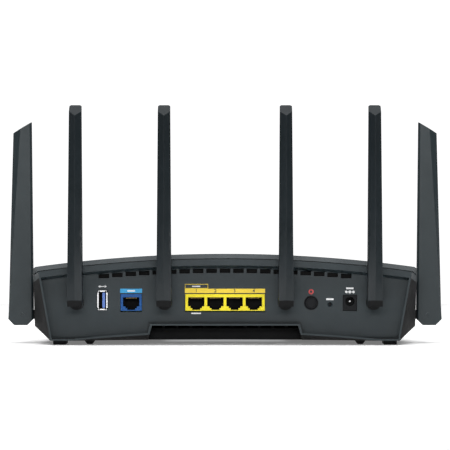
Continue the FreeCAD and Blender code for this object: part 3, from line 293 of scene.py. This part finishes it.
# Darker copy of the antenna slate: painted shade for the rear antennas
REAR_ANTENNA_PAINTED_SHADE = moulded("slate_antenna_rear_painted_shade", (0.006, 0.0095, 0.0115), (0.008, 0.0120, 0.0145), 0.42,
                       wear_and_sheen=(0.022, 0.027, 0.031), gloss=0.22)
TONGUE_BLUE = moulded("tongue_blue", (0.09, 0.17, 0.46), (0.12, 0.21, 0.54), 0.42,
                      grain_height=0.01 * MM, gloss=0.2)
for node, slot in SLOT_OF.items():
    part = frame["nodes"][node]
    part.data.materials.clear()
    part.data.materials.append(REAR_ANTENNA_PAINTED_SHADE if node.startswith("blade_rear") else FINISHES[slot])
frame["nodes"]["usb_tongue"].data.materials[0] = TONGUE_BLUE
print(len(FINISHES), "finishes on", len(SLOT_OF), "parts")

# %% [markdown]
# ## Liner of painted shade, inks and studio
# Ink is a thin matt coat, so it has almost no grain. The studio is plain white: the floor glows
# a little, which keeps it even under the soft boxes, and the drum glows fully.

# %% Finishes of the small pieces and of the studio
INK_GRAIN = 0.005 * MM
FLOOR_GLOW = 0.18
# Near-black liner finish: painted shade inside the sockets and behind the vents
PAINTED_SHADE_LINER = moulded("painted_shade_liner", (0.002, 0.002, 0.0022), (0.003, 0.003, 0.003), 0.6, gloss=0.1)
YELLOW_INK = moulded("yellow_ink", (0.72, 0.52, 0.018), (0.78, 0.57, 0.026), 0.5,
                     grain_height=INK_GRAIN)
BLUE_INK = moulded("blue_ink", (0.010, 0.26, 0.52), (0.016, 0.30, 0.58), 0.5, grain_height=INK_GRAIN)
WHITE_INK = moulded("white_ink", (0.62, 0.63, 0.64), (0.72, 0.73, 0.74), 0.5, grain_height=INK_GRAIN)
RED_INK = moulded("red_ink", (0.40, 0.025, 0.025), (0.50, 0.040, 0.040), 0.5, grain_height=INK_GRAIN)
DARK_INK = moulded("dark_ink", (0.030, 0.026, 0.010), (0.045, 0.038, 0.014), 0.5,
                   grain_height=INK_GRAIN)
studio_white, studio_tree, studio_shader = new_material("studio_white")
studio_tree.links.new(add_ramp(studio_tree, add_noise(studio_tree, 3, 3), grey(0.90), grey(0.93)),
                      studio_shader.inputs["Base Color"])
studio_shader.inputs["Roughness"].default_value = 0.9
studio_shader.inputs["Emission Color"].default_value = (1, 1, 1, 1)
studio_shader.inputs["Emission Strength"].default_value = FLOOR_GLOW
floor.data.materials.append(studio_white)
glowing_white, glow_tree, glow_shader = new_material("backdrop_white")
glow_shader.inputs["Emission Color"].default_value = (1, 1, 1, 1)
glow_shader.inputs["Emission Strength"].default_value = 1.0
backdrop.data.materials.append(glowing_white)

# %% [markdown]
# ## Rounded copies of the moulded parts
# A moulded edge is never knife sharp: its small radius catches a thin line of light. The frame
# keeps its sharp parts, so each visible moulding is copied, its loose triangles are merged into
# clean flat faces, and a narrow Bevel modifier rounds the edges. Rounding in the shader alone
# would leave the exported mesh sharp.

# %% A copy with rounded edges
def deselect():
    """Leave nothing selected."""
    bpy.ops.object.select_all(action="DESELECT")


MERGE_WITHIN = 0.002 * MM
SAME_PLANE = math.radians(0.15)
SHARP = math.radians(28)
ROUND_STEPS = 2


def rounded_copy(node, radius):
    """Copy of a part with merged faces and rounded edges, standing for that part."""
    deselect()
    source = frame["nodes"][node]
    source.select_set(True)
    bpy.context.view_layer.objects.active = source
    bpy.ops.object.duplicate()
    piece = bpy.context.object
    piece.name = node + ".rounded"
    for key in list(piece.keys()):
        del piece[key]
    bpy.ops.mesh.customdata_custom_splitnormals_clear()
    bpy.ops.object.mode_set(mode="EDIT")
    bpy.ops.mesh.select_all(action="SELECT")
    bpy.ops.mesh.remove_doubles(threshold=MERGE_WITHIN)
    bpy.ops.mesh.dissolve_limited(angle_limit=SAME_PLANE)
    bpy.ops.object.mode_set(mode="OBJECT")
    bpy.ops.object.shade_smooth_by_angle(angle=SHARP)
    rounding = piece.modifiers.new("rounding", "BEVEL")
    rounding.width = radius
    rounding.segments = ROUND_STEPS
    rounding.limit_method = "ANGLE"
    rounding.angle_limit = SHARP
    rounding.harden_normals = True
    bpy.ops.object.modifier_apply(modifier=rounding.name)
    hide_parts(node)
    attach(piece, BODY_OF[node])
    return piece


# %% Round every moulding that shows, by radii in millimetres
ROUNDING = {
    "top_cover": 0.30, "rear_hood": 0.18, "bottom_shell": 0.22, "rear_panel": 0.12,
    "lan_block": 0.12, "wan_jack": 0.12, "power_inlet": 0.15, "power_button": 0.30, "button_ring": 0.10,
    "feet_rear": 0.60, "feet_front": 0.60, "feet_round": 0.50, "case_screws": 0.15, "usb_shell": 0.08,
}
for node in SLOT_OF:
    if node.startswith("blade_"):
        ROUNDING[node] = 0.30
    if node.startswith("stub_"):
        ROUNDING[node] = 0.20
for node, radius in ROUNDING.items():
    piece = rounded_copy(node, radius * MM)
    print(piece.name, len(piece.data.polygons), "faces")

# %% [markdown]
# ## Painted shade below the slate
# The slate face of a rear antenna ends in a step above the hinge, and the foot below it is painted
# black as the shadow on the hinge. The tray is painted black too, as the shade on its recessed and
# undercut faces, and only its thin lip around the panel is slate. Both are single mouldings, so
# their faces only get a second finish, chosen by place and direction.

# %% Painted shade on the antenna feet and the tray
# Matt black finish used as painted shade
PAINTED_SHADE_BLACK = moulded("painted_shade_black", (0.0040, 0.0042, 0.0046), (0.0060, 0.0063, 0.0068), 0.6, gloss=0.08)
FOOT_TOP = 31.6 * MM
LIP_DEPTH = 1.0 * MM


def paint_shade_black(node, wanted):
    """Matt black as painted shade on the faces of a rounded copy for which wanted(centre, normal)
    holds.
    """
    piece = bpy.data.objects[node + ".rounded"]
    piece.data.materials.append(PAINTED_SHADE_BLACK)
    for face in piece.data.polygons:
        if wanted(face.center, face.normal):
            face.material_index = 1
    print(node, sum(face.material_index for face in piece.data.polygons), "black faces")


# Feet of the rear antennas: black as painted shade on the hinge
for node in SLOT_OF:
    if node.startswith("blade_rear"):
        paint_shade_black(node, lambda centre, normal: centre.z < FOOT_TOP)
# Tray outside its lip: black as painted shade
tray_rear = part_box("bottom_shell")[1][1]
paint_shade_black("bottom_shell", lambda centre, normal: normal.y < 0.3 or centre.y < tray_rear - LIP_DEPTH)

# %% [markdown]
# ## Socket liners of painted shade
# Inside each network socket sits a near-black liner, painted shade for the shadow deep in the
# opening, so only a thin rim of the coloured body shows. The liner follows the stepped opening: a
# wide mouth with two narrower steps below it for the latch. It starts as a cube of the mouth's
# size; its floor is cut by bisecting and the middle strips are extruded down, which keeps every
# wall square.

# %% Places in the sockets, from the frame
lan_low, lan_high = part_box("lan_block")
wan_low, wan_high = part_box("wan_jack")
PORT_PITCH = 13.97 * MM
PORTS_X = [(index - 1.5) * PORT_PITCH for index in range(4)]
PORTS_X.append((wan_low.x + wan_high.x) / 2)
MOUTH_WIDE = 11.9 * MM
MOUTH_TALL = 6.6 * MM
FLOOR_THICK = 3.2 * MM
MOUTH_FLOOR = lan_low.z + FLOOR_THICK
LATCH_WIDE = 5.8 * MM
LATCH_STEP = 1.3 * MM
print(len(PORTS_X), "plug openings, floor at", round(MOUTH_FLOOR, 4))


# %% Helpers for shaping in edit mode
def finish_piece(piece, name, finish, body):
    """Name a piece, bake its place into its mesh, and let it ride on a body."""
    piece.name = name
    bpy.ops.object.transform_apply(location=True, rotation=True, scale=True)
    piece.data.materials.clear()
    piece.data.materials.append(finish)
    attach(piece, body)
    return piece


def pick_faces(piece, wanted):
    """In edit mode, select only the faces for which wanted(centre, normal) holds."""
    bpy.ops.object.mode_set(mode="OBJECT")
    for part in (piece.data.vertices, piece.data.edges, piece.data.polygons):
        part.foreach_set("select", [False] * len(part))
    for face in piece.data.polygons:
        face.select = bool(wanted(face.center, face.normal))
    bpy.ops.object.mode_set(mode="EDIT")
    bpy.ops.mesh.select_mode(type="FACE")


def box_at(low, high):
    """Cube primitive between two corners, its size already in its mesh, in object mode."""
    deselect()
    centre = (Vector(low) + Vector(high)) / 2
    bpy.ops.mesh.primitive_cube_add(size=1, location=centre)
    piece = bpy.context.object
    piece.scale = Vector(high) - Vector(low)
    bpy.ops.object.transform_apply(location=True, rotation=True, scale=True)
    return piece


# %% One liner, copied into every opening
LINER_GAP = 0.06 * MM
LINER_RECESS = 0.9 * MM
LINER_DEEP = 12.8 * MM
LINER_WALL = 0.15 * MM
jack_front = lan_high.y
liner = box_at((-MOUTH_WIDE / 2 + LINER_GAP, jack_front - LINER_DEEP, MOUTH_FLOOR + LINER_GAP),
               (MOUTH_WIDE / 2 - LINER_GAP, jack_front - LINER_RECESS,
                MOUTH_FLOOR + MOUTH_TALL - LINER_GAP))
bpy.ops.object.mode_set(mode="EDIT")
for half in (LATCH_WIDE / 2, LATCH_WIDE / 2 + LATCH_STEP):
    for side in (-1, 1):
        bpy.ops.mesh.select_all(action="SELECT")
        bpy.ops.mesh.bisect(plane_co=(side * (half - LINER_GAP), 0, 0), plane_no=(1, 0, 0))
for half in (LATCH_WIDE / 2 + LATCH_STEP, LATCH_WIDE / 2):
    pick_faces(liner, lambda centre, normal: normal.z < -0.9 and abs(centre.x) < half - LINER_GAP)
    bpy.ops.mesh.extrude_region_move(TRANSFORM_OT_translate={"value": (0, 0, -LATCH_STEP)})
pick_faces(liner, lambda centre, normal: normal.y > 0.9)
bpy.ops.mesh.delete(type="FACE")
bpy.ops.object.mode_set(mode="OBJECT")
wall = liner.modifiers.new("wall", "SOLIDIFY")
wall.thickness = LINER_WALL
wall.offset = -1
bpy.ops.object.modifier_apply(modifier=wall.name)
print("liner of", len(liner.data.polygons), "faces")

for index, x in enumerate(PORTS_X):
    deselect()
    copy = liner.copy()
    copy.data = liner.data.copy()
    bpy.context.collection.objects.link(copy)
    copy.select_set(True)
    bpy.context.view_layer.objects.active = copy
    copy.location.x = x
    finish_piece(copy, f"painted_shade_liner_{index + 1}", PAINTED_SHADE_LINER, "base")
bpy.data.objects.remove(liner)

# %% [markdown]
# ## Inside of the upright socket
# The pressed shell is bright only at its spring tabs. Behind them it is a tunnel in shade with
# a blue tongue standing in it. A thin black sleeve inside the shell is painted shade for it. It is
# a cube without its front, with a wall made by Solidify.

# %% Black sleeve of painted shade in the upright socket
usb_low, usb_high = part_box("usb_shell")
SHELL_SKIN = 0.4 * MM
TAB_THICK = 0.65 * MM
SLEEVE_BACK = 3.0 * MM
SLEEVE_RECESS = 1.0 * MM
SLEEVE_WALL = 0.1 * MM
side_gap = TAB_THICK + SHELL_SKIN
sleeve = box_at((usb_low.x + side_gap, usb_low.y + SLEEVE_BACK, usb_low.z + SHELL_SKIN),
                (usb_high.x - side_gap, usb_high.y - SLEEVE_RECESS, usb_high.z - SHELL_SKIN))
pick_faces(sleeve, lambda centre, normal: normal.y > 0.9)
bpy.ops.mesh.delete(type="FACE")
bpy.ops.object.mode_set(mode="OBJECT")
sleeve_wall = sleeve.modifiers.new("wall", "SOLIDIFY")
sleeve_wall.thickness = SLEEVE_WALL
sleeve_wall.offset = -1
bpy.ops.object.modifier_apply(modifier=sleeve_wall.name)
finish_piece(sleeve, "usb_shade_sleeve", PAINTED_SHADE_LINER, "base")
print("sleeve", [round(size, 4) for size in sleeve.dimensions])

# %% [markdown]
# ## Gauze behind the vents
# A strip of black gauze behind the row of vents keeps dust out and hides the inside; its black is
# painted shade, for the dark inside of the housing. It is one long strip that follows the arched
# hood: a cube divided along its length, whose sections are lowered towards the ends by a
# parabola. Bending it by a modifier would turn its ends too.

# %% Gauze strip behind the panel
panel_low, panel_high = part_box("rear_panel")
GAUZE_GAP = 0.3 * MM
GAUZE_DROP = 0.2 * MM
GAUZE_THICK = 0.4 * MM
GAUZE_TALL = 5 * MM
GAUZE_HALF = 96 * MM
GAUZE_FALL = 4.4 * MM
GAUZE_CUTS = 8
gauze_back = panel_low.y - GAUZE_GAP
gauze_top = panel_high.z - GAUZE_DROP
gauze = box_at((-GAUZE_HALF, gauze_back - GAUZE_THICK, gauze_top - GAUZE_TALL),
               (GAUZE_HALF, gauze_back, gauze_top))
bpy.ops.object.mode_set(mode="EDIT")
for cut in range(1 - GAUZE_CUTS, GAUZE_CUTS):
    bpy.ops.mesh.select_all(action="SELECT")
    bpy.ops.mesh.bisect(plane_co=(cut * GAUZE_HALF / GAUZE_CUTS, 0, 0), plane_no=(1, 0, 0))
bpy.ops.mesh.select_mode(type="VERT")
for cut in range(-GAUZE_CUTS, GAUZE_CUTS + 1):
    bpy.ops.mesh.select_all(action="DESELECT")
    bpy.ops.object.mode_set(mode="OBJECT")
    station = cut * GAUZE_HALF / GAUZE_CUTS
    for corner in gauze.data.vertices:
        corner.select = abs(corner.co.x - station) < MM
    bpy.ops.object.mode_set(mode="EDIT")
    bpy.ops.transform.translate(value=(0, 0, -GAUZE_FALL * (cut / GAUZE_CUTS) ** 2))
bpy.ops.object.mode_set(mode="OBJECT")
finish_piece(gauze, "vent_gauze_shade", PAINTED_SHADE_LINER, "base")
print("gauze of", len(gauze.data.polygons), "faces, lowered by", GAUZE_FALL / MM, "mm at its ends")

# %% [markdown]
# ## Printed marks
# The panel is printed with coloured strips, port numbers and small symbols. Each mark is a
# very thin raised piece just proud of the panel, because ink drawn in the panel's own material
# would need a picture. A strip starts as a plane: its corners are rounded by bevelling the
# vertices, and the face is extruded by the thickness of the ink.

# %% Helpers for ink
INK = 0.08 * MM
INK_LIFT = 0.01 * MM
UPRIGHT = (math.radians(90), 0, 0)
ink_back = panel_face + INK_LIFT


def raise_ink(piece, name, finish):
    """Give the flat selected outline its thickness and fix it to the panel."""
    bpy.ops.object.mode_set(mode="EDIT")
    bpy.ops.mesh.select_all(action="SELECT")
    bpy.ops.mesh.extrude_region_move(TRANSFORM_OT_translate={"value": (0, INK, 0)})
    bpy.ops.mesh.select_all(action="SELECT")
    bpy.ops.mesh.normals_make_consistent(inside=False)
    bpy.ops.object.mode_set(mode="OBJECT")
    return finish_piece(piece, name, finish, "base")


def print_strip(name, x, z, wide, tall, corner, finish, layer=0):
    """Rounded strip of ink about a centre on the panel, or on as many layers of ink below it."""
    deselect()
    bpy.ops.mesh.primitive_plane_add(size=1, location=(x, ink_back + layer * INK, z), rotation=UPRIGHT)
    piece = bpy.context.object
    piece.scale = (wide, tall, 1)
    bpy.ops.object.transform_apply(location=True, rotation=True, scale=True)
    bpy.ops.object.mode_set(mode="EDIT")
    bpy.ops.mesh.select_all(action="SELECT")
    bpy.ops.mesh.bevel(offset=corner, segments=3, affect="VERTICES")
    bpy.ops.object.mode_set(mode="OBJECT")
    return raise_ink(piece, name, finish)


def print_frame(name, x, z, wide, tall, line, finish):
    """Thin rectangular outline of ink about a centre on the panel."""
    deselect()
    bpy.ops.mesh.primitive_plane_add(size=1, location=(x, ink_back, z), rotation=UPRIGHT)
    piece = bpy.context.object
    piece.scale = (wide, tall, 1)
    bpy.ops.object.transform_apply(location=True, rotation=True, scale=True)
    bpy.ops.object.mode_set(mode="EDIT")
    bpy.ops.mesh.select_all(action="SELECT")
    bpy.ops.mesh.inset(thickness=line, depth=0)
    bpy.ops.mesh.delete(type="FACE")
    bpy.ops.object.mode_set(mode="OBJECT")
    return raise_ink(piece, name, finish)


def print_ring(name, x, z, radius, hole, finish):
    """Round dot of ink, or a ring where a hole is given."""
    deselect()
    bpy.ops.mesh.primitive_circle_add(vertices=32, radius=radius, fill_type="NGON",
                                      location=(x, ink_back, z), rotation=UPRIGHT)
    piece = bpy.context.object
    bpy.ops.object.transform_apply(location=True, rotation=True, scale=True)
    if hole:
        bpy.ops.object.mode_set(mode="EDIT")
        bpy.ops.mesh.select_all(action="SELECT")
        bpy.ops.mesh.inset(thickness=radius - hole, depth=0)
        bpy.ops.mesh.delete(type="FACE")
        bpy.ops.object.mode_set(mode="OBJECT")
    return raise_ink(piece, name, finish)


# %% Strips above the network sockets
STRIP_TALL = 3.1 * MM
STRIP_RISE = 0.8 * MM
STRIP_CORNER = 0.3 * MM
LAN_OVERHANG = 0.6 * MM
WAN_OVERHANG = 0.7 * MM
strip_z = lan_high.z + STRIP_RISE + STRIP_TALL / 2
lan_wide = lan_high.x - lan_low.x + LAN_OVERHANG
print_strip("strip_lan", 0, strip_z, lan_wide, STRIP_TALL, STRIP_CORNER, YELLOW_INK)
wan_x = PORTS_X[-1]
wan_wide = wan_high.x - wan_low.x + WAN_OVERHANG
print_strip("strip_wan", wan_x, strip_z, wan_wide, STRIP_TALL, STRIP_CORNER, BLUE_INK)
print("strips at height", round(strip_z, 4))

# %% [markdown]
# ## Port numbers
# The ports are numbered from 1 to 4, starting on the side of the single socket. Figures are
# typed as text, made a mesh, and then turned upright to face the reader behind the router.

# %% Port numbers
FIGURE_TALL = 2.4 * MM
FIGURE_WEIGHT = 0.08 * MM
SIZE_PER_HEIGHT = 1.4


def print_figure(figure, x, z, finish):
    """Upright figure facing +Y, standing on the ink below it."""
    deselect()
    bpy.ops.object.text_add(location=(0, 0, 0))
    piece = bpy.context.object
    piece.data.body = figure
    piece.data.size = FIGURE_TALL * SIZE_PER_HEIGHT
    piece.data.align_x = "CENTER"
    piece.data.align_y = "CENTER"
    piece.data.extrude = INK / 2
    piece.data.offset = FIGURE_WEIGHT
    bpy.ops.object.convert(target="MESH")
    piece = bpy.context.object
    piece.location = (x, ink_back + 1.5 * INK, z)
    piece.rotation_euler = (math.radians(90), 0, math.radians(180))
    return finish_piece(piece, "figure_" + figure, finish, "base")


for index in range(4):
    print_figure(str(index + 1), PORTS_X[3 - index], strip_z, DARK_INK)

# %% [markdown]
# ## Small symbols
# A framed field marks the first socket, short bars stand where words are printed, a red ring
# marks the power button, and a bar with three joined dots shows the plug's polarity. Bars
# are used in place of words: they keep the look of the print without any text.

# %% Bars and the framed field around the network sockets
BAR_CORNER = 0.2 * MM
BAR_TALL = 0.9 * MM
FIELD_WIDE = 16.9 * MM
FIELD_TALL = 3.3 * MM
FIELD_RISE = 1.75 * MM
FIELD_LINE = 0.35 * MM
SPEED_DROP = 1.9 * MM
port_one = PORTS_X[3]
field_x = lan_wide / 2 - FIELD_WIDE / 2
field_z = strip_z + STRIP_TALL / 2 + FIELD_RISE
print_frame("first_port_frame", field_x, field_z, FIELD_WIDE, FIELD_TALL, FIELD_LINE, YELLOW_INK)
print_strip("first_port_bar", port_one, field_z, 6.0 * MM, BAR_TALL, BAR_CORNER, WHITE_INK)
print_strip("speed_bar", port_one, lan_low.z - SPEED_DROP, 7.0 * MM, BAR_TALL, BAR_CORNER, WHITE_INK)
print_strip("wan_bar", wan_x, strip_z, 5.6 * MM, 1.1 * MM, BAR_CORNER, WHITE_INK, layer=1)
print("framed field at", round(field_x, 4), round(field_z, 4))

# %% Marks of the buttons and the power inlet
WORD_WIDE = 5.4 * MM
WORD_TALL = 1.3 * MM
RING_RISE = 2.9 * MM
RESET_RISE = 1.7 * MM
INLET_RISE = 4.9 * MM
DOT_RISE = 2.3 * MM
DOT_PITCH = 2.6 * MM


def middle_x(node):
    """Middle of a part across the panel."""
    low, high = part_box(node)
    return (low.x + high.x) / 2


ring_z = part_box("button_ring")[1].z + RING_RISE
print_ring("power_ring_mark", middle_x("power_button"), ring_z, 1.9 * MM, 0.9 * MM, RED_INK)
reset_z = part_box("reset_button")[1].z + RESET_RISE
print_strip("reset_bar", middle_x("reset_button"), reset_z, WORD_WIDE, WORD_TALL, BAR_CORNER, WHITE_INK)
inlet_x = middle_x("power_inlet")
inlet_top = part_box("power_inlet")[1].z
print_strip("inlet_bar", inlet_x, inlet_top + INLET_RISE, WORD_WIDE, WORD_TALL, BAR_CORNER, WHITE_INK)
dot_z = inlet_top + DOT_RISE
for index, radius in enumerate((0.95, 1.1, 0.95)):
    dot_x = inlet_x + (index - 1) * DOT_PITCH
    print_ring(f"polarity_dot_{index + 1}", dot_x, dot_z, radius * MM, 0, WHITE_INK)
print_strip("polarity_line", inlet_x, dot_z, 2 * DOT_PITCH, 0.4 * MM, 0.1 * MM, WHITE_INK,
            layer=1)
print("marks up to height", round(inlet_top + INLET_RISE, 4))

# %% [markdown]
# ## Arrow above the upright socket
# A plain double arrow stands above the upright socket. Each head is a circle of three sides,
# turned outwards, and the shaft between them is a strip.

# %% Double arrow
usb_x = (usb_low.x + usb_high.x) / 2
ARROW_RISE = 2.9 * MM
SHAFT_LONG = 3.6 * MM
SHAFT_TALL = 0.5 * MM
HEAD_OUT = 2.1 * MM
HEAD_SIZE = 1.1 * MM
arrow_z = usb_high.z + ARROW_RISE
print_strip("arrow_shaft", usb_x, arrow_z, SHAFT_LONG, SHAFT_TALL, 0.1 * MM, WHITE_INK)
for side in (-1, 1):
    deselect()
    bpy.ops.mesh.primitive_circle_add(vertices=3, radius=HEAD_SIZE, fill_type="NGON",
                                      location=(usb_x + side * HEAD_OUT, ink_back, arrow_z),
                                      rotation=(math.radians(90), side * math.radians(90), 0))
    head = bpy.context.object
    bpy.ops.object.transform_apply(location=True, rotation=True, scale=True)
    raise_ink(head, "arrow_head_left" if side > 0 else "arrow_head_right", WHITE_INK)
print("arrow", round(2 * (HEAD_OUT + HEAD_SIZE), 4), "long")

# %% [markdown]
# ## Pin caps
# The fold pins of the antennas end just below the surface of each blade, and a flush cap of
# the blade's own plastic hides them. A cap is a short cylinder with a bevelled rim. One is
# made for each end of each pin, and it rides on its antenna.

# %% Caps over the ends of the fold pins
CAP_RADIUS = 1.22 * MM
CAP_RIM = 0.06 * MM
CAP_PLAY = 0.05 * MM


def pin_cap(name, centre, axis, thick, body):
    """Flush disc with a rounded rim over one end of a pin."""
    deselect()
    turn = (0, math.radians(90), 0) if axis == 0 else (math.radians(90), 0, 0)
    bpy.ops.mesh.primitive_cylinder_add(vertices=28, radius=CAP_RADIUS, depth=thick, location=centre,
                                        rotation=turn)
    piece = bpy.context.object
    bpy.ops.object.mode_set(mode="EDIT")
    bpy.ops.mesh.select_all(action="SELECT")
    bpy.ops.mesh.bevel(offset=CAP_RIM, segments=2, affect="EDGES")
    bpy.ops.object.mode_set(mode="OBJECT")
    # Caps on the rear antennas take the same painted shade as their blades
    finish = REAR_ANTENNA_PAINTED_SHADE if "rear" in name else FINISHES["antenna"]
    return finish_piece(piece, name, finish, body)


for node, body in BODY_OF.items():
    if not node.startswith("pin_"):
        continue
    pin_low, pin_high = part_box(node)
    blade_low, blade_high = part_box(node.replace("pin_", "blade_"))
    axis = 0 if "rear" in node else 1
    middle = (pin_low + pin_high) / 2
    for side, pin_end, face in (("a", pin_low, blade_low), ("b", pin_high, blade_high)):
        centre = middle.copy()
        centre[axis] = (pin_end[axis] + face[axis]) / 2
        thick = abs(pin_end[axis] - face[axis]) - CAP_PLAY
        pin_cap(f"cap_{node[4:]}_{side}", centre, axis, thick, body)
